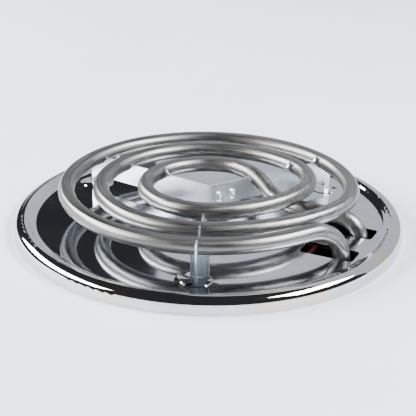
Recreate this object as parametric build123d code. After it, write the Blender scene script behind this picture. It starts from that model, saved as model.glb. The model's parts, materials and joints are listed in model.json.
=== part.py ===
from build123d import *
import os
from math import acos, cos, degrees, radians, sin, sqrt, tan

# Plug-in coil burner with its drip pan, hinged receptacle and supply leads. Millimetres.
# Origin: burner axis, at the plane where the pan's rim stands on the hob. +Z is up, and +X
# points from the burner axis to the receptacle.

# --- coil -------------------------------------------------------------------------------
coil_height = 21.0          # centreline of the coil above the hob
tube_radius = 4.1
tube_wall = 0.8
core_bore = 1.2             # conductor radius inside the magnesia
outer_turn = 71.8           # centreline radius of each turn
middle_turn = 54.4
inner_turn = 32.0
outer_end_angle = -33.4     # where the outer turn leaves its circle
first_step_from = 26.6      # the outer turn steps in to the middle one between these angles
first_step_to = -66.4
second_step_from = 56.6     # and the middle one to the inner one
second_step_to = -63.4
inner_end_angle = 99.5
outer_bend = 19.0           # bend radius from the outer turn down into its leg
outer_run = 11.5
inner_bend = 16.0           # bend that aims the inner end outward
inner_heading = -24.0
inner_run = 4.5
drop_bend = 30.0            # the two bends that lower it under the turns
aim_bend = 12.0             # bend that lines it up with its leg
crossing_gap = 0.6          # free height where it passes under a turn
inner_leg_bend = 12.0
foot_bend = 10.0            # bend at the bottom of each leg
foot_height = -20.0
foot_run = 3.8

# --- spider -----------------------------------------------------------------------------
arm_angles = {"front": -68.7, "right": 57.5, "left": 171.0}
strip = 0.8                 # sheet thickness
strip_gap = 0.02            # between two strips that lie face to face
arm_top = 21.3
arm_bottom = 9.8
arm_ends = {"front": 78.2, "right": 77.2, "left": 77.2}
foot_start = 74.5           # the last part of an arm goes down to the pan
foot_bottom = 5.5
wing_start = 65.0           # the folded wings beside the front foot
wing_end = 71.4
wing_top = 15.6
wing_sides = (-2.6, 5.0)
finger_top = 24.7           # the fingers that locate each turn
finger_places = {            # each arm's fingers: the turn, and -1 inside it or 1 outside it
    "front": [(middle_turn, 1)],
    "right": [(middle_turn, -1), (outer_turn, -1)],
    "left": [(inner_turn, -1), (middle_turn, 1)],
}
finger_lap = 0.5             # how far a finger's edge reaches over the tube
finger_tip = 1.3
finger_base = 5.0
finger_root = 2.0            # how deep a finger is rooted in the arm
cradle_gap = 0.15
fall_allowance = 0.2         # extra notch radius for each mm the tube has fallen
flange_end = 18.8
clinch_radii = (4.8, 12.8)
clinch_height = 14.6
clinch_size = 2.8              # radius of a clinch's raised ring

# --- drip pan ---------------------------------------------------------------------------
rim_radius = 98.5
bead_inner = (92.0, 8.0)     # radius and height of the bead's two corners
bead_outer = (97.9, 8.6)
pan_bends = (6.0, 4.0, 4.2)  # bend radii at the dish's corner and at the bead's two corners
corner_shift = 0.25          # the underside's inner corners sit this much further out
dish_level = 4.8
dish_radius = 88.6
sheet = 0.6
pad_height = 0.4
pad_radius = 7.6
pad_middle = 74.0
drain_middle = 78.6          # a small hole beside each foot
drain_side = 2.6
drain_radius = 1.25
slot_inboard = 20.0         # a slot's ends, measured from the middle of its leg
slot_outboard = 6.6
slot_width = 12.8
slot_corner = 2.4
slot_shift = 1.7            # the slots sit a little to one side of the legs
ring_radius = 87.5
ring_wall = 1.0
ring_bottom = -9.0

# --- receptacle, measured from the legs -------------------------------------------------
hinge_reach = 18.8
hinge_z = -7.4
hinge_pin_radius = 1.5
pin_overhang = 3.5           # the pin beyond each ear's middle
pin_head_radius = 2.7
pin_head_length = 1.2
clip_radius = 3.2
clip_thickness = 0.7
clip_mouth = 1.6
hinge_clearance = 0.06
press_clearance = 0.02
block_reach = 18.0
block_length = 22.8
block_half_width = 21.0
block_top = -11.0
block_bottom = -29.0
lug_radius = 3.6
lug_width = 10.0
lug_side = 14.6
pocket_bottom = -17.4
pocket_width = 17.0
cover_thickness = 4.0
cover_screw_side = 4.2
pin_length = 14.0
blade_radius = 2.3
blade_thickness = 2.9
seal_length = 3.6
spring_length = 10.0
spring_middle = 9.6
tab_side = 5.0              # the two lead tabs, each side of the middle

# --- hinge bracket ----------------------------------------------------------------------
ear_y = 22.4
ear_thickness = 1.2
ear_start = 84.0             # radii where an ear's top and lower edges begin
ear_shoulder = 88.0
ear_end = 4.2                # beyond the hinge axis
ear_bottom = -10.8
flange_width = 68.0
rivet_head_radius = 2.4
bracket_top = -3.4
bracket_bottom = -8.6
rivet_angle = 20.5
rivet_z = -6.0
rivet_radius = 1.6

# --- supply leads -----------------------------------------------------------------------
lead_radius = 1.3
lead_level = -12.6
lead_x = (38.5, 49.5)
lead_bend = 12.0
lead_start = 11.0           # from the receptacle's front face to the lead's end
connector_y = 47.5
connector_size = (20.0, 15.0, 12.0)


class Route:
    """A smooth path of straight runs and arcs, each one tangent to the one before it."""

    def __init__(self, start, heading):
        self.start = Vector(*start)
        self.first_heading = Vector(*heading).normalized()
        self.point = self.start
        self.heading = self.first_heading
        self.edges = []
        self.length = 0.0

    def run(self, distance):
        end = self.point + self.heading * distance
        self.edges.append(Edge.make_line(self.point, end))
        self.point = end
        self.length += distance

    def turn(self, radius, angle, axis):
        axis = Vector(*axis).normalized()
        spin = Axis((0, 0, 0), axis)
        centre = self.point + axis.cross(self.heading) * radius
        arm = self.point - centre
        middle = centre + arm.rotate(spin, angle / 2)
        end = centre + arm.rotate(spin, angle)
        self.edges.append(Edge.make_three_point_arc(self.point, middle, end))
        self.point = end
        self.heading = self.heading.rotate(spin, angle)
        self.length += radius * radians(angle)

    def tube(self, radius):
        section = Plane(origin=self.start, z_dir=self.first_heading) * Circle(radius)
        return sweep(section, path=Wire(self.edges))


def around(radius, angle, height=0.0):
    return Vector(radius * cos(radians(angle)), radius * sin(radians(angle)), height)


def step_in(route, start_radius, end_radius, from_angle, to_angle):
    """Two arcs that carry a clockwise turn from one circle to a smaller one."""
    half = (from_angle - to_angle) / 2
    shift = (start_radius - end_radius) / (2 * (1 - cos(radians(half))))
    route.turn(start_radius - shift, half, (0, 0, -1))
    route.turn(end_radius + shift, half, (0, 0, -1))


def outer_leg_place():
    """Where the outer leg stands: the inner leg mirrors it across the X axis."""
    joint = around(outer_turn, outer_end_angle)
    return joint + around(outer_run + outer_bend, outer_end_angle + 90)


def drop_angle():
    """How far each of the two lowering bends turns."""
    return degrees(acos(1 - (coil_height - low_height) / (2 * drop_bend)))


leg_x = outer_leg_place().X
leg_y = -outer_leg_place().Y
sheath_end = leg_x + foot_bend + foot_run
low_height = coil_height - 2 * tube_radius - crossing_gap
hinge_x = leg_x + hinge_reach
block_start = leg_x + block_reach
block_end = block_start + block_length


def outer_leg():
    """From the end of the sheath, in and up to the top of the vertical leg."""
    route = Route((sheath_end, -leg_y, foot_height), (-1, 0, 0))
    route.run(foot_run)
    route.turn(foot_bend, 90, (0, 1, 0))
    route.run(coil_height - outer_bend - foot_height - foot_bend)
    return route


def add_turns(route):
    """The heated length, from the top of the outer leg to where the inner end starts to fall."""
    inward = around(1, outer_end_angle + 90) * -1
    route.turn(outer_bend, 90, Vector(0, 0, 1).cross(inward))
    route.run(outer_run)
    route.turn(outer_turn, 360 - first_step_from + outer_end_angle, (0, 0, -1))
    step_in(route, outer_turn, middle_turn, first_step_from, first_step_to)
    route.turn(middle_turn, 360 - second_step_from + first_step_to, (0, 0, -1))
    step_in(route, middle_turn, inner_turn, second_step_from, second_step_to)
    route.turn(inner_turn, 360 - inner_end_angle + second_step_to, (0, 0, -1))
    route.turn(inner_bend, inner_end_angle - 90 - inner_heading, (0, 0, -1))
    route.run(inner_run)


def add_fall(route):
    """Down under the other turns and out to the top of the inner leg."""
    across = around(1, inner_heading + 90)
    route.turn(drop_bend, drop_angle(), across)
    route.turn(drop_bend, drop_angle(), across * -1)
    aim_drop = aim_bend * (1 - cos(radians(inner_heading)))
    route.run((route.point.Y - leg_y - aim_drop) / -sin(radians(inner_heading)))
    route.turn(aim_bend, -inner_heading, (0, 0, 1))
    route.run(leg_x - inner_leg_bend - route.point.X)
    route.turn(inner_leg_bend, 90, (0, 1, 0))


def add_inner_leg(route):
    route.run(route.point.Z - foot_height - foot_bend)
    route.turn(foot_bend, 90, (0, -1, 0))
    route.run(foot_run)


def whole_route():
    route = outer_leg()
    add_turns(route)
    add_fall(route)
    add_inner_leg(route)
    return route


def fall_start():
    """Where the inner end starts to fall."""
    centre = around(inner_turn - inner_bend, inner_end_angle)
    bend_end = centre + around(inner_bend, inner_heading + 90)
    return bend_end + around(inner_run, inner_heading)


def fall_crossing(angle):
    """Radius and height at which the falling inner end crosses an arm."""
    start = fall_start()
    lean = radians(angle - inner_heading)
    sideways = start.X * sin(radians(angle)) - start.Y * cos(radians(angle))
    travelled = -sideways / sin(lean)
    place = start + around(travelled, inner_heading)
    height = coil_height - drop_bend + sqrt(drop_bend ** 2 - travelled ** 2)
    return sqrt(place.X ** 2 + place.Y ** 2), height


def coil_sheath():
    route = whole_route()
    return route.tube(tube_radius) - route.tube(tube_radius - tube_wall)


def magnesia_core():
    route = whole_route()
    return route.tube(tube_radius - tube_wall) - route.tube(core_bore)


def resistance_wire():
    top = outer_leg()
    route = Route(tuple(top.point), tuple(top.heading))
    add_turns(route)
    add_fall(route)
    return route.tube(core_bore)


def cold_pin(side):
    """The conductor in one leg and the blade that plugs into the receptacle."""
    if side < 0:
        route = outer_leg()
    else:
        top = outer_leg()
        add_turns(top)
        add_fall(top)
        route = Route(tuple(top.point), tuple(top.heading))
        add_inner_leg(route)
    place = Plane(origin=(sheath_end, side * leg_y, foot_height), z_dir=(1, 0, 0))
    shank = place * extrude(Circle(core_bore), seal_length)
    tip_length = pin_length - seal_length
    tip_place = place.offset(seal_length)
    tip = tip_place * extrude(Circle(blade_radius), tip_length)
    tip = chamfer(tip.faces().sort_by(Axis.X)[-1].edges(), 0.7)
    flats = tip_place * extrude(Rectangle(2 * blade_radius, blade_thickness), tip_length)
    return route.tube(core_bore) + shank + (tip & flats)


def end_seal(side):
    place = Plane(origin=(sheath_end, side * leg_y, foot_height), z_dir=(1, 0, 0))
    bush = place * extrude(Circle(tube_radius - 0.3), seal_length)
    bush = chamfer(bush.faces().sort_by(Axis.X)[-1].edges(), 0.8)
    return bush - place * extrude(Circle(core_bore), seal_length)


def arm_profile(name, start):
    """An arm's outline in its own plane: along is the radius, up is the height."""
    arm_end = arm_ends[name]
    plate = upright(start, arm_end, arm_bottom, arm_top)
    plate += upright(foot_start, arm_end, foot_bottom, arm_top)
    if name == "front":
        plate += upright(outer_turn, arm_end, arm_top, finger_top)
    for turn, side in finger_places[name]:
        plate += finger(turn + side * (tube_radius - finger_lap), side)
    for radius, height in tube_crossings(name):
        if height < coil_height:
            plate -= upright(radius - tube_radius - 1, radius + tube_radius + 1, height, finger_top + 1)
        plate -= Pos(radius, height) * Circle(tube_radius + cradle_gap + (coil_height - height) * fall_allowance)
    return plate


def upright(start, end, low, high):
    return Pos((start + end) / 2, (low + high) / 2) * Rectangle(end - start, high - low)


def finger(edge, side):
    """A finger beside a turn, flared where it joins the arm on the side away from the turn."""
    low = arm_top - finger_root
    tip = edge + side * finger_tip
    base = edge + side * finger_base
    waist = (tip + side, (finger_top + arm_top) / 2 - 0.6)
    outline = [Line((edge, low), (edge, finger_top)), Line((edge, finger_top), (tip, finger_top)),
               ThreePointArc((tip, finger_top), waist, (base, arm_top)), Line((base, arm_top), (base, low)),
               Line((base, low), (edge, low))]
    return make_face(outline)


def stand_arm(profile, angle):
    """Turn an arm's flat outline upright and aim it along its angle."""
    blade = extrude(Plane.XZ * profile, strip / 2, both=True)
    return Rot(0, 0, angle) * blade


def arm_foot(angle):
    """The folded foot: a cross plate with a wing on each side of the arm."""
    height = wing_top - foot_bottom
    middle = (wing_top + foot_bottom) / 2
    low_side, high_side = wing_sides
    plate = Pos(wing_end - strip / 2, (low_side + high_side) / 2, middle)
    plate = plate * Box(strip, high_side - low_side, height)
    for side in wing_sides:
        plate += Pos((wing_start + wing_end) / 2, side, middle) * Box(wing_end - wing_start, strip, height)
    neck = Pos((wing_end + foot_start) / 2, 0, middle) * Box(foot_start - wing_end + 1, strip, height)
    return Rot(0, 0, angle) * (plate + neck)


def clinch_tool(radius):
    """A hole pressed through both strips at each clinch."""
    spots = Part()
    for along in clinch_radii:
        place = Plane(origin=(along, 0, clinch_height), z_dir=(0, -1, 0))
        spots += place * extrude(Circle(radius), 5, both=True)
    return spots


def tube_crossings(name):
    """Radius and height of the tube wherever it crosses an arm, from the middle outward."""
    outer_places = [(middle_turn, coil_height), (outer_turn, coil_height)]
    if name == "right":
        return [fall_crossing(arm_angles[name])] + outer_places
    return [(inner_turn, coil_height)] + outer_places


def spider_cross_strip():
    """One strip, bent in the middle: it makes the left and the right arm."""
    shape = Part()
    for name in ("left", "right"):
        angle = arm_angles[name]
        shape += stand_arm(arm_profile(name, 0.0), angle)
    bend = Pos(0, 0, (arm_bottom + arm_top) / 2) * Cylinder(strip / 2, arm_top - arm_bottom)
    return shape + bend - Rot(0, 0, arm_angles["right"]) * clinch_tool(clinch_size - 1.0)


def spider_front_arm():
    """The third arm, with a flange that lies on the right arm's face."""
    angle = arm_angles["front"]
    offset_from_arm = strip + strip_gap
    half_bend = (arm_angles["right"] - angle) / 2
    bend_radius = offset_from_arm / sin(radians(2 * half_bend))
    shape = stand_arm(arm_profile("front", bend_radius), angle) + arm_foot(angle)
    height = arm_top - arm_bottom
    middle = (arm_bottom + arm_top) / 2
    bend_x = -offset_from_arm / tan(radians(180 - 2 * half_bend))
    flange = Pos((bend_x + flange_end) / 2, -offset_from_arm, middle) * Box(flange_end - bend_x, strip, height)
    flange += Pos(bend_x, -offset_from_arm, middle) * Cylinder(strip / 2, height)
    flange -= clinch_tool(clinch_size - 1.0)
    return shape + Rot(0, 0, arm_angles["right"]) * flange


def clinch_rivets():
    """Two hollow rivets, dished on the visible side, through the flange and the right arm."""
    hole = clinch_size - 1.05
    group = []
    for along in clinch_radii:
        outline = Polyline(
            (0.0, -0.9), (hole, -0.9), (hole, 1.72), (clinch_size, 1.72), (clinch_size, 2.1),
            (clinch_size - 0.5, 2.4), (clinch_size - 1.1, 2.1), (0.9, 0.3), (0.0, 0.1), (0.0, -0.9))
        body = revolve(Plane.XZ * make_face(outline), Axis.Z)
        back = Pos(0, 0, -0.65) * Cylinder(clinch_size - 0.4, 0.44)
        place = Plane(origin=(along, -strip / 2 + 0.02, clinch_height), z_dir=(0, -1, 0))
        group.append(Rot(0, 0, arm_angles["right"]) * (place * Pos(0, 0, -0.86) * (body + back)))
    return Compound(children=group)


def slot_places():
    middle = leg_x + (slot_outboard - slot_inboard) / 2
    return [(middle, -leg_y + slot_shift), (middle, leg_y + slot_shift)]


def drip_pan():
    top = [(0, dish_level), (dish_radius, dish_level), bead_inner, bead_outer, (rim_radius, 0)]
    low = [(0, dish_level - sheet), (dish_radius + corner_shift, dish_level - sheet),
           (bead_inner[0] + corner_shift, bead_inner[1] - sheet),
           (bead_outer[0] - sheet, bead_outer[1] - sheet), (rim_radius - sheet, 0)]
    hollow, inner, outer = pan_bends
    upper = FilletPolyline(*top, radius=[hollow, inner, outer])
    lower = FilletPolyline(*low, radius=[hollow + sheet, inner - sheet, outer - sheet])
    sides = [Line(upper @ 0, lower @ 0), Line(upper @ 1, lower @ 1)]
    section = make_face(Wire(upper.edges() + lower.edges() + [edge.edge() for edge in sides]))
    pan = revolve(Plane.XZ * section, Axis.Z)
    for angle in arm_angles.values():
        pan = pan + pad(angle, dish_level, pad_height) - pad(angle, dish_level - sheet - 0.01, pad_height)
        drain = around(drain_middle, angle) + around(drain_side, angle - 90)
        pan -= Pos(drain.X, drain.Y, dish_level) * Cylinder(drain_radius, 6)
    for place in slot_places():
        cut = extrude(RectangleRounded(slot_inboard + slot_outboard, slot_width, slot_corner), 6)
        pan -= Pos(place[0], place[1], 2) * cut
    return pan


def pad(angle, level, height):
    """A low raised spot in the dish that an arm's foot stands on."""
    place = around(pad_middle, angle, level)
    return Pos(*place) * extrude(Circle(pad_radius), height, taper=60)


def locating_ring():
    height = dish_level - sheet - ring_bottom
    middle = ring_bottom + height / 2
    ring = Pos(0, 0, middle) * (Cylinder(ring_radius, height) - Cylinder(ring_radius - ring_wall, height))
    for side in (-1, 1):
        ring -= rivet_hole(side)
    return ring


def rivet_place(side, radius):
    direction = around(1, side * rivet_angle)
    return Plane(origin=tuple(around(radius, side * rivet_angle, rivet_z)), z_dir=tuple(direction))


def rivet_hole(side):
    return rivet_place(side, ring_radius - 3) * extrude(Circle(rivet_radius + press_clearance), 6)


def bracket_rivets():
    group = []
    for side in (-1, 1):
        place = rivet_place(side, ring_radius - ring_wall)
        shank = place * extrude(Circle(rivet_radius), ring_wall + ear_thickness)
        outer = place * Pos(0, 0, ring_wall + ear_thickness) * extrude(Circle(rivet_head_radius), 1.1, taper=30)
        inner = place * Pos(0, 0, -0.8) * extrude(Circle(rivet_head_radius), 0.74)
        neck = place * Pos(0, 0, -0.1) * extrude(Circle(rivet_radius), 0.1)
        group.append(shank + outer + inner + neck)
    return Compound(children=group)


def hinge_bracket():
    """A curved flange on the locating ring and two ears that carry the hinge pin."""
    height = bracket_top - bracket_bottom
    flange = Cylinder(ring_radius + ear_thickness, height) - Cylinder(ring_radius, height)
    flange &= Pos(ring_radius, 0, 0) * Box(30, flange_width, height)
    shape = Pos(0, 0, bracket_bottom + height / 2) * flange
    for side in (-1, 1):
        outline = make_face(Polyline(
            (ear_start, bracket_bottom), (ear_start, bracket_top), (hinge_x + ear_end, bracket_top),
            (hinge_x + ear_end, ear_bottom), (hinge_x - ear_end, ear_bottom), (ear_shoulder, bracket_bottom),
            (ear_start, bracket_bottom)))
        ear = extrude(Plane.XZ * outline, ear_thickness)
        ear = Pos(0, side * ear_y + ear_thickness / 2, 0) * ear
        ear -= Cylinder(ring_radius, 40)
        shape += ear
        shape -= rivet_hole(side)
    return shape - hinge_hole(hinge_pin_radius + press_clearance)


def hinge_hole(radius):
    return Pos(hinge_x, 0, hinge_z) * Rot(90, 0, 0) * Cylinder(radius, 80)


def hinge_pin():
    end = ear_y + pin_overhang
    pin = Pos(hinge_x, 0, hinge_z) * Rot(90, 0, 0) * Cylinder(hinge_pin_radius, 2 * end)
    head_y = -end - pin_head_length / 2 + 0.2
    return pin + Pos(hinge_x, head_y, hinge_z) * Rot(90, 0, 0) * Cylinder(pin_head_radius, pin_head_length)


def pin_clip():
    ring = Cylinder(clip_radius, clip_thickness)
    ring -= Cylinder(hinge_pin_radius + press_clearance, clip_thickness)
    ring -= Pos(clip_radius, 0, 0) * Box(2 * clip_radius, clip_mouth, 2 * clip_thickness)
    return Pos(hinge_x, ear_y + 1.35, hinge_z) * Rot(90, 0, 0) * ring


def terminal_block():
    """Ceramic receptacle: two blade sockets, and lugs on the hinge pin."""
    middle_x = (block_start + block_end) / 2
    height = block_top - block_bottom
    block = Pos(middle_x, 0, (block_top + block_bottom) / 2) * Box(block_length, 2 * block_half_width, height)
    block = fillet(block.edges().filter_by(Axis.X), 2.4)
    for side in (-1, 1):
        lug = Pos(hinge_x + 0.2, side * lug_side, 0) * lug_block()
        block += lug
    for y in (-leg_y, leg_y):
        mouth = Pos(block_start + 2, y, foot_height) * Rot(0, 90, 0) * Cylinder(3.2, 4.4)
        chamber = Pos(block_start + spring_middle + 0.8, y, foot_height) * Box(spring_length + 3.2, 8.6, 10.4)
        block -= mouth + chamber
    pocket_height = block_top - pocket_bottom + 2
    block -= Pos(block_start + 5, 0, pocket_bottom + pocket_height / 2) * Box(13, pocket_width, pocket_height)
    for side in (-1, 1):
        block -= screw_hole(side, 1.3)
    return block - hinge_hole(hinge_pin_radius + hinge_clearance)


def lug_block():
    height = hinge_z - block_top
    lug = Pos(0, 0, hinge_z) * Rot(90, 0, 0) * Cylinder(lug_radius, lug_width)
    return lug + Pos(0, 0, hinge_z - height / 2 - 0.5) * Box(2 * lug_radius - 0.8, lug_width, height + 1)


def screw_hole(side, radius):
    place = Pos(block_end - 6, side * cover_screw_side, foot_height)
    return place * Rot(0, 90, 0) * Cylinder(radius, 12)


def block_cover():
    """The plate over the back of the receptacle, with a recess round each screw."""
    middle = (block_top + block_bottom) / 2
    plate = Box(cover_thickness, 2 * block_half_width - 1, block_top - block_bottom - 1)
    plate = fillet(plate.edges().filter_by(Axis.X), 2.0)
    plate = Pos(block_end + cover_thickness / 2 + 0.02, 0, middle) * plate
    for side in (-1, 1):
        plate -= Pos(block_end, side * cover_screw_side, foot_height) * Rot(0, 90, 0) * Cylinder(1.62, 20)
    return plate


def cover_screws():
    group = []
    for side in (-1, 1):
        place = Plane(origin=(block_end + cover_thickness + 0.04, side * cover_screw_side, foot_height), z_dir=(1, 0, 0))
        head = place * extrude(Circle(2.9), 1.7)
        head = chamfer(head.faces().sort_by(Axis.X)[-1].edges(), 0.5)
        head -= place * Pos(0, 0, 1.0) * extrude(Rectangle(0.8, 5.9), 1)
        shank = place * extrude(Circle(1.28), -12)
        group.append(head + shank)
    return Compound(children=group)


def contact_spring(side):
    """A folded spring that grips a blade from both sides."""
    y = side * leg_y
    leaf = Box(spring_length, 0.6, 6.0)
    shape = Pos(0, 2.0, 0) * leaf + Pos(0, -2.0, 0) * leaf
    shape += Pos(spring_length / 2 - 0.3, 0, 0) * Box(0.6, 4.6, 6.0)
    return Pos(block_start + spring_middle, y, foot_height) * shape


def contact_tab(side):
    """The flat tab in the block's top pocket that a lead's connector pushes onto."""
    level = lead_level - 1.0
    tab = Pos(block_start + 4.4, side * tab_side, level) * Box(9.0, 4.8, 0.8)
    drop = level - pocket_bottom
    foot = Pos(block_start + 8.5, side * tab_side, level - drop / 2) * Box(0.8, 4.8, drop)
    return tab + foot


def push_on(side):
    """The crimped connector on the receptacle end of a lead."""
    shell = Pos(block_start - 0.2, side * tab_side, lead_level - 0.8) * Box(8.0, 6.0, 2.8)
    shell -= Pos(block_start + 0.4, side * tab_side, lead_level - 1.0) * Box(9.0, 4.9, 0.9)
    barrel = Pos(block_start - 6.6, side * tab_side, lead_level) * Rot(0, 90, 0) * Cylinder(1.9, 5.2)
    return shell + barrel


def lead_route(index):
    side = (-tab_side, tab_side)[index]
    start_x = block_start - lead_start
    route = Route((start_x, side, lead_level), (-1, 0, 0))
    route.run(start_x - lead_x[index] - lead_bend)
    route.turn(lead_bend, 90, (0, 0, -1))
    route.run(connector_y - connector_size[1] / 2 + 4 - route.point.Y)
    return route


def lead_wire(index):
    return lead_route(index).tube(lead_radius)


def connector_middle():
    return (lead_x[0] + lead_x[1]) / 2


def supply_connector():
    """Two-way ceramic connector where the supply joins the leads."""
    block = Box(*connector_size)
    block = fillet(block.edges().filter_by(Axis.Y), 1.6)
    block = Pos(connector_middle(), connector_y, lead_level - 1) * block
    for x in lead_x:
        block -= Pos(x, connector_y, lead_level) * Rot(90, 0, 0) * Cylinder(lead_radius + 0.1, 40)
        block -= Pos(x, connector_y, lead_level + 3) * Cylinder(1.7, 8)
    block -= Pos(connector_middle(), connector_y, lead_level) * Cylinder(1.62, 40)
    return block


def connector_screws():
    group = []
    for x in lead_x:
        top = lead_level + 4.2
        screw = Pos(x, connector_y, (top + lead_level + lead_radius + 0.1) / 2)
        screw = screw * Cylinder(1.6, top - lead_level - lead_radius - 0.1)
        screw -= Pos(x, connector_y, top) * Box(4, 0.7, 1.2)
        group.append(screw)
    return Compound(children=group)


def connector_bracket():
    """The shelf under the connector, with a flange up the inside of the locating ring."""
    level = lead_level - 1 - connector_size[2] / 2 - 0.02
    shelf = Pos(connector_middle(), 60, level - 0.6) * Box(16, 26, 1.2)
    shelf &= Pos(0, 0, level) * Cylinder(ring_radius - ring_wall - 0.02, 10)
    flange = Cylinder(ring_radius - ring_wall - 0.02, 15) - Cylinder(ring_radius - ring_wall - 1.22, 15)
    flange &= Pos(connector_middle(), 66, 0) * Box(16, 20, 15)
    shape = shelf + Pos(0, 0, level - 1.2 + 7.5) * flange
    return shape - Pos(connector_middle(), connector_y, level) * Cylinder(1.3, 10)


def connector_fixing():
    level = lead_level - 1 + connector_size[2] / 2
    head = Pos(connector_middle(), connector_y, level + 0.75) * Cylinder(2.9, 1.5)
    head -= Pos(connector_middle(), connector_y, level + 1.4) * Box(6, 0.8, 1.2)
    return head + Pos(connector_middle(), connector_y, level - 7) * Cylinder(1.28, 14)


def make_parts():
    parts = {
        "coil_sheath": coil_sheath(),
        "magnesia_core": magnesia_core(),
        "resistance_wire": resistance_wire(),
        "spider_cross_strip": spider_cross_strip(),
        "spider_front_arm": spider_front_arm(),
        "clinch_rivets": clinch_rivets(),
        "drip_pan": drip_pan(),
        "locating_ring": locating_ring(),
        "hinge_bracket": hinge_bracket(),
        "bracket_rivets": bracket_rivets(),
        "hinge_pin": hinge_pin(),
        "pin_clip": pin_clip(),
        "terminal_block": terminal_block(),
        "block_cover": block_cover(),
        "cover_screws": cover_screws(),
        "supply_connector": supply_connector(),
        "connector_screws": connector_screws(),
        "connector_bracket": connector_bracket(),
        "connector_fixing": connector_fixing(),
    }
    for index, side in enumerate((-1, 1)):
        number = index + 1
        parts[f"cold_pin_{number}"] = cold_pin(side)
        parts[f"end_seal_{number}"] = end_seal(side)
        parts[f"contact_spring_{number}"] = contact_spring(side)
        parts[f"contact_tab_{number}"] = contact_tab(side)
        parts[f"push_on_{number}"] = push_on(side)
        parts[f"lead_wire_{number}"] = lead_wire(index)
    return parts


os.makedirs("parts", exist_ok=True)
for name, shape in make_parts().items():
    export_step(shape, f"parts/{name}.step")
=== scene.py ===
import json
import math

import bpy
from mathutils import Matrix, Vector


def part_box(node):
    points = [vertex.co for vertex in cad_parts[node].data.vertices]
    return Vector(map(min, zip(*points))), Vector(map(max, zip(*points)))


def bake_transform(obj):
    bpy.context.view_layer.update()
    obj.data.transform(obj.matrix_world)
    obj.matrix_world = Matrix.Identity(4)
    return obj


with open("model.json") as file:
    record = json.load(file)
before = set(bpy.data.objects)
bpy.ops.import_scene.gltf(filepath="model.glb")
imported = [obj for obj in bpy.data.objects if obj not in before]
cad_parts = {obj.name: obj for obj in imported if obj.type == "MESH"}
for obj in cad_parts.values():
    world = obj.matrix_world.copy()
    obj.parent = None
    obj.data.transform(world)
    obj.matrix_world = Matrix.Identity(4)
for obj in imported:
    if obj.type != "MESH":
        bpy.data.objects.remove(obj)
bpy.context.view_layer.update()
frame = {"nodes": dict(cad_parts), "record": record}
nodes = frame["nodes"]

# Metres, in the CAD frame: Z up, the receptacle on +X, the hob's surface at z = 0.
COIL_Z = 0.021               # centre line of the turns
TUBE = 0.0041                # radius of the coil's sheath
LEG_TOP = 0.013              # the legs' straight grain fades in below this
LEG_FADE = 0.0085
FOOT_Y = (-0.062, -0.058)    # the front foot, which gets a painted dark reflection, lies beyond these, and below the wings' tops
FOOT_Z = (0.0145, 0.0175)
BEAD = (0.0885, 0.0955)      # radii over which the rim's painted warm reflection fades in
PAD_ANGLES = (-68.7, 57.5, 171.0)    # degrees, the arms' directions
PAD_MIDDLE = 0.074
PAD_Z = 0.0052
PAD_REACH = 0.0105           # how far round each foot the mirror is bent
LEAD_R = 0.0013
LEAD_OVERLAP = 0.0006        # how far the tube at a lead's end starts inside its fixed part
CRIMP_DEPTH = 0.0012         # and how far it goes into its crimp
LEAD_STEPS = 8
HOLE = 0.0886                # radius of the opening in the hob
HOB_THICK = 0.0012
CAVITY_RADIUS = 0.14
CAVITY_FLOOR = -0.06
RING_SIDES = 128             # facets round the hob's opening


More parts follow.
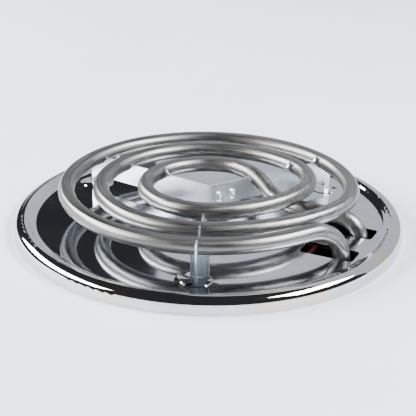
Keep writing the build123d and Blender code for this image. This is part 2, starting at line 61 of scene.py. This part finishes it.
# ---------------------------------------------------------------- node helpers
class Tree:
    """A material's or world's node tree, with short calls for the nodes used here."""

    def __init__(self, tree):
        self.tree = tree
        self.nodes = tree.nodes
        self.links = tree.links

    def put(self, target, value):
        if isinstance(value, bpy.types.NodeSocket):
            self.links.new(value, target)
        else:
            target.default_value = value

    def node(self, kind, **settings):
        made = self.nodes.new(kind)
        for key, value in settings.items():
            setattr(made, key, value)
        return made

    def math(self, operation, a, b=0.0, c=0.0, clamp=False):
        made = self.node("ShaderNodeMath", operation=operation, use_clamp=clamp)
        for index, value in enumerate((a, b, c)):
            self.put(made.inputs[index], value)
        return made.outputs[0]

    def vector(self, x, y, z):
        made = self.node("ShaderNodeCombineXYZ")
        for index, value in enumerate((x, y, z)):
            self.put(made.inputs[index], value)
        return made.outputs[0]

    def split(self, vector):
        made = self.node("ShaderNodeSeparateXYZ")
        self.put(made.inputs[0], vector)
        return made.outputs[0], made.outputs[1], made.outputs[2]

    def total(self, a, b):
        return self.math("ADD", a, b)

    def times(self, a, b):
        return self.math("MULTIPLY", a, b)

    def from_axis(self, x, y):
        """The distance from the burner's axis."""
        return self.math("SQRT", self.total(self.times(x, x), self.times(y, y)))

    def place(self):
        """The surface point in the object's own space, which is the CAD frame at rest."""
        return self.node("ShaderNodeTexCoord").outputs["Object"]

    def stretch(self, vector, scale):
        made = self.node("ShaderNodeVectorMath", operation="MULTIPLY")
        self.put(made.inputs[0], vector)
        made.inputs[1].default_value = scale
        return made.outputs[0]

    def noise(self, vector, scale, detail=3.0, roughness=0.5):
        made = self.node("ShaderNodeTexNoise")
        self.put(made.inputs["Vector"], vector)
        made.inputs["Scale"].default_value = scale
        made.inputs["Detail"].default_value = detail
        made.inputs["Roughness"].default_value = roughness
        return made.outputs["Fac"]

    def span(self, value, low, high, to_low=0.0, to_high=1.0, smooth=True):
        made = self.node("ShaderNodeMapRange")
        made.interpolation_type = "SMOOTHSTEP" if smooth else "LINEAR"
        self.put(made.inputs[0], value)
        for index, number in enumerate((low, high, to_low, to_high)):
            made.inputs[index + 1].default_value = number
        return made.outputs[0]

    def mix(self, factor, a, b):
        """Mixes two colours."""
        made = self.node("ShaderNodeMix", data_type="RGBA")
        self.put(made.inputs[0], factor)
        for socket, value in ((made.inputs[6], a), (made.inputs[7], b)):
            if isinstance(value, tuple) and len(value) == 3:
                value = (*value, 1.0)
            self.put(socket, value)
        return made.outputs[2]

    def mix_number(self, factor, a, b):
        made = self.node("ShaderNodeMix", data_type="FLOAT")
        self.put(made.inputs[0], factor)
        self.put(made.inputs[2], a)
        self.put(made.inputs[3], b)
        return made.outputs[0]

    def bump(self, height, strength, distance=0.001, normal=None):
        made = self.node("ShaderNodeBump")
        made.inputs["Strength"].default_value = strength
        made.inputs["Distance"].default_value = distance
        self.put(made.inputs["Height"], height)
        if normal is not None:
            self.put(made.inputs["Normal"], normal)
        return made.outputs["Normal"]


def material(name):
    made = bpy.data.materials.new(name)
    made.use_nodes = True
    made.node_tree.nodes.clear()
    tree = Tree(made.node_tree)
    shader = tree.node("ShaderNodeBsdfPrincipled")
    out = tree.node("ShaderNodeOutputMaterial")
    tree.links.new(shader.outputs[0], out.inputs[0])
    return made, tree, shader


def finish_shader(tree, shader, colour, roughness, normal=None, metallic=1.0):
    tree.put(shader.inputs["Base Color"], colour)
    tree.put(shader.inputs["Roughness"], roughness)
    shader.inputs["Metallic"].default_value = metallic
    if normal is not None:
        tree.put(shader.inputs["Normal"], normal)


# ---------------------------------------------------------------- metals
def coil_steel():
    """Satin drawn steel: grain along the turns, a top worn flat, faint heat colour."""
    made, tree, shader = material("coil_steel")
    place = tree.place()
    x, y, z = tree.split(place)
    radius = tree.from_axis(x, y)
    turn = tree.math("ARCTAN2", y, x)
    round_place = tree.vector(tree.times(radius, 1500.0), tree.times(turn, 2.4), tree.times(z, 1500.0))
    leg_place = tree.stretch(place, (1500.0, 1500.0, 40.0))
    on_leg = tree.span(z, LEG_FADE, LEG_TOP, 1.0, 0.0)
    turn_grain = tree.noise(round_place, 1.0, 4.0, 0.6)
    leg_grain = tree.noise(leg_place, 1.0, 4.0, 0.6)
    grain = tree.mix_number(on_leg, turn_grain, leg_grain)
    coarse = tree.noise(tree.stretch(round_place, (0.18, 1.0, 0.18)), 1.0, 2.0)
    blotch = tree.noise(place, 55.0, 4.0)
    colour = tree.mix(tree.span(grain, 0.3, 0.7), (0.135, 0.131, 0.126), (0.285, 0.277, 0.265))
    colour = tree.mix(tree.span(coarse, 0.45, 0.75, 0.0, 0.45), colour, (0.105, 0.102, 0.098))
    colour = tree.mix(tree.span(blotch, 0.5, 0.8, 0.0, 0.22), colour, (0.23, 0.21, 0.175))
    roughness = tree.total(tree.span(grain, 0.25, 0.75, 0.29, 0.42), tree.span(blotch, 0.3, 0.7, 0.0, 0.05))
    worn = tree.span(z, COIL_Z + 0.80 * TUBE, COIL_Z + 0.86 * TUBE, 0.0, 0.82)
    facing = tree.node("ShaderNodeNewGeometry").outputs["Normal"]
    flat = tree.node("ShaderNodeMix", data_type="VECTOR")
    tree.put(flat.inputs[0], worn)
    tree.put(flat.inputs[4], facing)
    flat.inputs[5].default_value = (0.0, 0.0, 1.0)
    unit = tree.node("ShaderNodeVectorMath", operation="NORMALIZE")
    tree.links.new(flat.outputs[1], unit.inputs[0])
    relief = tree.total(grain, tree.times(coarse, 1.4))
    normal = tree.bump(relief, 0.30, 0.00006, unit.outputs[0])
    finish_shader(tree, shader, colour, roughness, normal)
    return made


def zinc_strip():
    """Bright zinc on thin strip: cool, with drag lines, small dull spots and a painted dark reflection on
    the front foot, in vertical streaks.
    """
    made, tree, shader = material("zinc_strip")
    place = tree.place()
    drag = tree.noise(tree.stretch(place, (60.0, 60.0, 700.0)), 1.0, 2.0)
    cloud = tree.noise(place, 120.0, 3.0)
    spots = tree.noise(place, 900.0, 2.0)
    colour = tree.mix(tree.span(cloud, 0.35, 0.7), (0.74, 0.79, 0.84), (0.86, 0.89, 0.92))
    colour = tree.mix(tree.span(spots, 0.62, 0.75, 0.0, 0.35), colour, (0.55, 0.58, 0.62))
    y, z = tree.split(place)[1:]
    # Painted reflection: the front foot's colour is pulled to a darker blue-grey in vertical streaks,
    # standing for the dark surroundings it reflects.
    foot_reflection_mask = tree.times(tree.span(y, *FOOT_Y, 1.0, 0.0), tree.span(z, *FOOT_Z, 1.0, 0.0))
    streak = tree.noise(tree.stretch(place, (1500.0, 1500.0, 60.0)), 1.0, 2.0)
    painted_foot_reflection = tree.mix(tree.span(streak, 0.4, 0.6), (0.16, 0.185, 0.21), (0.46, 0.52, 0.58))
    colour = tree.mix(tree.times(foot_reflection_mask, 0.75), colour, painted_foot_reflection)
    roughness = tree.total(tree.span(drag, 0.3, 0.7, 0.30, 0.38), tree.span(cloud, 0.4, 0.7, 0.0, 0.07))
    relief = tree.total(drag, tree.times(cloud, 1.2))
    finish_shader(tree, shader, colour, roughness, tree.bump(relief, 0.16, 0.00006))
    return made


def zinc_sheet():
    """The pressed parts under the pan: duller zinc with faint crystals."""
    made, tree, shader = material("zinc_sheet")
    place = tree.place()
    cells = tree.node("ShaderNodeTexVoronoi")
    tree.put(cells.inputs["Vector"], place)
    cells.inputs["Scale"].default_value = 260.0
    tone = tree.noise(cells.outputs["Color"], 3.0, 1.0)
    scuff = tree.noise(tree.stretch(place, (60.0, 60.0, 1200.0)), 1.0, 3.0)
    colour = tree.mix(tree.span(tone, 0.3, 0.7), (0.60, 0.62, 0.64), (0.74, 0.76, 0.78))
    roughness = tree.total(tree.span(tone, 0.3, 0.7, 0.30, 0.40), tree.span(scuff, 0.4, 0.7, 0.0, 0.10))
    finish_shader(tree, shader, colour, roughness, tree.bump(scuff, 0.4, 0.00008))
    return made


def mirror_chrome():
    """Chrome plate on pressed sheet: a slightly uneven mirror, with a painted warm reflection at the rim,
    domed at each pad.
    """
    made, tree, shader = material("mirror_chrome")
    place = tree.place()
    x, y, z = tree.split(place)
    radius = tree.from_axis(x, y)
    turn = tree.math("ARCTAN2", y, x)
    swell = tree.noise(place, 22.0, 1.0)
    peel = tree.noise(place, 240.0, 2.0)
    wipe = tree.noise(tree.vector(tree.times(radius, 2600.0), tree.times(turn, 9.0), z), 1.0, 3.0)
    haze = tree.noise(place, 46.0, 3.0)
    colour = tree.mix(tree.span(haze, 0.35, 0.7), (0.52, 0.54, 0.575), (0.60, 0.62, 0.65))
    # Painted reflection: a patchy warm colour at the rim stands for the room reflected in the bead.
    rim_reflection_reach = tree.span(radius, *BEAD)
    painted_rim_reflection = tree.times(rim_reflection_reach, tree.span(tree.noise(place, 34.0, 2.0), 0.50, 0.72, 0.0, 0.55))
    colour = tree.mix(painted_rim_reflection, colour, (0.72, 0.58, 0.36))
    roughness = tree.total(tree.span(haze, 0.3, 0.75, 0.030, 0.075), tree.span(wipe, 0.55, 0.8, 0.0, 0.05))
    domes = 0.0
    for angle in PAD_ANGLES:
        aside = tree.node("ShaderNodeVectorMath", operation="DISTANCE")
        tree.put(aside.inputs[0], place)
        heading = math.radians(angle)
        middle = (PAD_MIDDLE * math.cos(heading), PAD_MIDDLE * math.sin(heading), PAD_Z)
        aside.inputs[1].default_value = middle
        domes = tree.total(domes, tree.span(aside.outputs["Value"], 0.0, PAD_REACH, 1.0, 0.0))
    broad = tree.bump(domes, 0.8, 0.0012, tree.bump(swell, 0.28, 0.0006))
    normal = tree.bump(peel, 0.10, 0.00004, broad)
    finish_shader(tree, shader, colour, roughness, normal)
    return made


def turned_metal(name, dark, light, low, high):
    """Small turned or stamped metal parts."""
    made, tree, shader = material(name)
    place = tree.place()
    lines = tree.noise(tree.stretch(place, (1800.0, 160.0, 160.0)), 1.0, 3.0)
    cloud = tree.noise(place, 300.0, 3.0)
    colour = tree.mix(tree.span(cloud, 0.3, 0.7), dark, light)
    roughness = tree.total(tree.span(lines, 0.3, 0.7, low, high), tree.span(cloud, 0.4, 0.7, 0.0, 0.06))
    finish_shader(tree, shader, colour, roughness, tree.bump(lines, 0.3, 0.00005))
    return made


# ---------------------------------------------------------------- ceramics and sleeve
def ceramic(name, dark, light, rough):
    """Unglazed ceramic: chalky, with pores and a little grey handling dirt."""
    made, tree, shader = material(name)
    place = tree.place()
    cloud = tree.noise(place, 130.0, 4.0)
    pores = tree.noise(place, 2200.0, 2.0)
    dirt = tree.noise(place, 60.0, 5.0, 0.65)
    colour = tree.mix(tree.span(cloud, 0.3, 0.7), dark, light)
    colour = tree.mix(tree.span(pores, 0.62, 0.74, 0.0, 0.5), colour, (0.46, 0.43, 0.38))
    colour = tree.mix(tree.span(dirt, 0.55, 0.8, 0.0, 0.35), colour, (0.50, 0.48, 0.45))
    roughness = tree.span(cloud, 0.3, 0.7, rough - 0.06, rough + 0.05)
    relief = tree.total(tree.times(pores, -1.0), cloud)
    finish_shader(tree, shader, colour, roughness, tree.bump(relief, 0.5, 0.00015), metallic=0.0)
    shader.inputs["Subsurface Weight"].default_value = 0.04
    shader.inputs["Subsurface Radius"].default_value = (0.001, 0.0008, 0.0006)
    return made


def red_sleeve_painted_shade():
    """Woven glass sleeve under red varnish, its reds darkened as painted shade of the hob's cavity."""
    made, tree, shader = material("red_sleeve_painted_shade")
    place = tree.place()
    x, y, z = tree.split(place)
    along = tree.math("SUBTRACT", x, y)
    across = tree.times(along, 5200.0)
    up = tree.times(z, 5200.0)
    one = tree.math("SINE", tree.total(across, up))
    two = tree.math("SINE", tree.math("SUBTRACT", across, up))
    weave = tree.times(one, two)
    patch = tree.noise(place, 220.0, 3.0)
    # Painted shade: these reds are the varnish's own colour, darkened to stand for the shade deep in the
    # cavity below the slots.
    colour = tree.mix(tree.span(weave, -0.6, 0.8), (0.075, 0.004, 0.007), (0.20, 0.010, 0.018))
    colour = tree.mix(tree.span(patch, 0.5, 0.8, 0.0, 0.35), colour, (0.06, 0.005, 0.007))
    roughness = tree.span(patch, 0.3, 0.7, 0.42, 0.60)
    finish_shader(tree, shader, colour, roughness, tree.bump(weave, 0.6, 0.00012), metallic=0.0)
    shader.inputs["Coat Weight"].default_value = 0.25
    shader.inputs["Coat Roughness"].default_value = 0.3
    return made


coil = coil_steel()
strip = zinc_strip()
sheet = zinc_sheet()
chrome = mirror_chrome()
nickel = turned_metal("nickel_plate", (0.60, 0.58, 0.53), (0.76, 0.73, 0.67), 0.22, 0.32)
screw = turned_metal("screw_steel", (0.50, 0.50, 0.49), (0.68, 0.68, 0.66), 0.26, 0.38)
bronze = turned_metal("spring_bronze", (0.52, 0.34, 0.17), (0.72, 0.52, 0.30), 0.24, 0.34)
heater = turned_metal("heater_wire", (0.20, 0.19, 0.18), (0.34, 0.32, 0.30), 0.40, 0.55)
steatite = ceramic("steatite", (0.74, 0.71, 0.63), (0.86, 0.83, 0.76), 0.62)
seal = ceramic("seal_ceramic", (0.66, 0.62, 0.54), (0.80, 0.77, 0.69), 0.66)
powder = ceramic("magnesia", (0.80, 0.78, 0.73), (0.90, 0.88, 0.84), 0.82)
sleeve = red_sleeve_painted_shade()

FINISH = {
    "coil_steel": coil,
    "spider_zinc": strip,
    "pan_chrome": chrome,
    "bracket_zinc": sheet,
    "magnesia": powder,
    "nichrome": heater,
    "pin_nickel": nickel,
    "seal_ceramic": seal,
    "block_ceramic": steatite,
    "spring_bronze": bronze,
    "screw_steel": screw,
    "lead_red": sleeve,
}
for part in frame["record"]["subparts"]:
    piece = nodes[part["node"]]
    piece.data.materials.clear()
    piece.data.materials.append(FINISH[part["material_slot"]])


# ---------------------------------------------------------------- mesh helpers
def mesh_object(name, points, faces, finish, smooth=True):
    data = bpy.data.meshes.new(name)
    data.from_pydata([tuple(point) for point in points], [], faces)
    data.update()
    if smooth:
        data.polygons.foreach_set("use_smooth", [True] * len(data.polygons))
    data.materials.append(finish)
    made = bpy.data.objects.new(name, data)
    bpy.context.scene.collection.objects.link(made)
    return made


def tube(name, path, radii, finish, sides=24):
    """A closed tube along path, with its own radius at each point."""
    points = []
    faces = []
    path = [Vector(point) for point in path]
    side = Vector((0, 0, 1))
    for index, point in enumerate(path):
        ahead = path[min(index + 1, len(path) - 1)] - path[max(index - 1, 0)]
        ahead.normalize()
        first = ahead.cross(side).normalized()
        second = first.cross(ahead).normalized()
        for step in range(sides):
            angle = 2 * math.pi * step / sides
            points.append(point + (first * math.cos(angle) + second * math.sin(angle)) * radii[index])
    for ring in range(len(path) - 1):
        for step in range(sides):
            a = ring * sides + step
            b = ring * sides + (step + 1) % sides
            faces.append((a, a + sides, b + sides, b))
    faces.append(tuple(range(sides)))
    last = (len(path) - 1) * sides
    faces.append(tuple(last + step for step in reversed(range(sides))))
    return mesh_object(name, points, faces, finish)


def bare_ends():
    """The last of each lead: a straight tube from inside its fixed part into its crimp."""
    for number in (1, 2):
        low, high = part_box(f"lead_wire_{number}")
        near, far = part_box(f"push_on_{number}")
        side = (near.y + far.y) / 2
        level = (low.z + high.z) / 2
        start = high.x - LEAD_OVERLAP
        end = near.x + CRIMP_DEPTH
        path = [(start + (end - start) * step / LEAD_STEPS, side, level) for step in range(LEAD_STEPS + 1)]
        radii = [LEAD_R * (0.80 + 0.04 * math.sin(step * 2.1)) for step in range(LEAD_STEPS + 1)]
        piece = tube(f"lead_end_{number}", path, radii, sleeve)
        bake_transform(piece)


bare_ends()


# ---------------------------------------------------------------- floor and hob cavity
def floor_material():
    made, tree, shader = material("floor_white")
    place = tree.place()
    cloud = tree.noise(place, 9.0, 3.0)
    colour = tree.mix(tree.span(cloud, 0.3, 0.7), (0.74, 0.79, 0.86), (0.77, 0.82, 0.89))
    finish_shader(tree, shader, colour, 0.55, metallic=0.0)
    return made


def painted_shade_material():
    # Painted shade: near black, standing for the shade inside the hob below the pan.
    made, tree, shader = material("cavity_painted_shade")
    cloud = tree.noise(tree.place(), 40.0, 3.0)
    colour = tree.mix(cloud, (0.012, 0.012, 0.014), (0.03, 0.03, 0.033))
    finish_shader(tree, shader, colour, 0.7, metallic=0.0)
    return made


def ring_points(radius, level, count):
    return [(radius * math.cos(2 * math.pi * i / count), radius * math.sin(2 * math.pi * i / count), level)
            for i in range(count)]


def floor_and_cavity():
    """The hob's top with its round opening, and below it a well coloured near black as painted shade."""
    count = RING_SIDES
    radii = [HOLE, 0.2, 0.6, 3.0]
    points = []
    for radius in radii:
        points += ring_points(radius, 0.0, count)
    points += ring_points(HOLE, -HOB_THICK, count)
    faces = []
    for ring in range(len(radii) - 1):
        for step in range(count):
            a = ring * count + step
            b = ring * count + (step + 1) % count
            faces.append((a, a + count, b + count, b))
    under = len(radii) * count
    for step in range(count):
        following = (step + 1) % count
        faces.append((step, following, under + following, under + step))
    floor = mesh_object("floor", points, faces, floor_material(), smooth=False)
    well = []
    for level in (-HOB_THICK, CAVITY_FLOOR):
        well += ring_points(CAVITY_RADIUS, level, count)
    sides = [(i, (i + 1) % count, count + (i + 1) % count, count + i) for i in range(count)]
    sides.append(tuple(range(count, 2 * count)))
    cavity = mesh_object("cavity", well, sides, painted_shade_material(), smooth=False)


floor_and_cavity()


# ---------------------------------------------------------------- light
CAMERA_TURN = 25.30
SCREEN_REACH = 1.6
SCREEN_COLOUR = (0.88, 0.92, 1.0)
SCREEN_GLOW = 0.95
WINDOW_REACH = 1.3


def seen_from_camera(turn, rise, reach):
    """A point by its angle to the right of straight ahead of the camera, its elevation and reach."""
    heading = math.radians(90 + CAMERA_TURN - turn)
    flat = reach * math.cos(math.radians(rise))
    return Vector((flat * math.cos(heading), flat * math.sin(heading), reach * math.sin(math.radians(rise))))


def screen(name, turns, rises, reach, colour, glow):
    """A curved glowing screen round the burner, between two turns and two rises."""
    columns = 24
    points = []
    for rise in rises:
        for step in range(columns + 1):
            turn = turns[0] + (turns[1] - turns[0]) * step / columns
            points.append(seen_from_camera(turn, rise, reach))
    faces = [(i, i + 1, i + columns + 2, i + columns + 1) for i in range(columns)]
    made, _, shader = material(name)
    shader.inputs["Base Color"].default_value = (0.01, 0.01, 0.01, 1.0)
    shader.inputs["Roughness"].default_value = 0.9
    shader.inputs["Emission Color"].default_value = (*colour, 1.0)
    shader.inputs["Emission Strength"].default_value = glow
    mesh_object(name, points, faces, made, smooth=False)


def area_light(name, turn, rise, reach, width, height, power, colour):
    data = bpy.data.lights.new(name, "AREA")
    data.shape = "RECTANGLE"
    data.size = width
    data.size_y = height
    data.energy = power
    data.color = colour
    piece = bpy.data.objects.new(name, data)
    bpy.context.scene.collection.objects.link(piece)
    piece.location = seen_from_camera(turn, rise, reach)
    piece.rotation_mode = "QUATERNION"
    piece.rotation_quaternion = (-piece.location).to_track_quat("-Z", "Y")


def world_light():
    world = bpy.data.worlds.new("room")
    bpy.context.scene.world = world
    world.use_nodes = True
    world.node_tree.nodes.clear()
    tree = Tree(world.node_tree)
    back = tree.node("ShaderNodeBackground")
    out = tree.node("ShaderNodeOutputWorld")
    tree.links.new(back.outputs[0], out.inputs[0])
    back.inputs[0].default_value = (0.80, 0.86, 0.95, 1.0)
    back.inputs[1].default_value = 0.05


world_light()
screen("screen_back", (-4.0, 85.0), (1.0, 58.0), SCREEN_REACH, SCREEN_COLOUR, SCREEN_GLOW)
screen("screen_low", (-21.0, -4.0), (1.0, 19.5), SCREEN_REACH, SCREEN_COLOUR, SCREEN_GLOW)
area_light("window_left", -82.0, 30.0, WINDOW_REACH, 1.75, 0.44, 84.0, (0.97, 0.985, 1.0))
area_light("window_right", 104.0, 47.0, WINDOW_REACH, 0.90, 0.50, 54.0, (0.94, 0.97, 1.0))


# ---------------------------------------------------------------- camera
CAMERA_LENS = 95.19
CAMERA_RISE = 23.05
CAMERA_ROLL = 0.98
CAMERA_AIM = Vector((0.01177, -0.02581, COIL_Z))
CAMERA_DISTANCE = 0.5306


def camera():
    data = bpy.data.cameras.new("camera")
    data.sensor_width = 36.0
    data.lens = CAMERA_LENS
    data.clip_start = 0.01
    data.clip_end = 20.0
    piece = bpy.data.objects.new("camera", data)
    bpy.context.scene.collection.objects.link(piece)
    turn, rise, roll = (math.radians(angle) for angle in (CAMERA_TURN, CAMERA_RISE, CAMERA_ROLL))
    back = Vector((math.sin(turn) * math.cos(rise), -math.cos(turn) * math.cos(rise), math.sin(rise)))
    right = Vector((math.cos(turn), math.sin(turn), 0.0))
    up = back.cross(right)
    rolled_right = right * math.cos(roll) + up * math.sin(roll)
    rolled_up = back.cross(rolled_right)
    turn_matrix = Matrix((rolled_right, rolled_up, back)).transposed().to_4x4()
    piece.matrix_world = Matrix.Translation(CAMERA_AIM + back * CAMERA_DISTANCE) @ turn_matrix
    bpy.context.scene.camera = piece


camera()
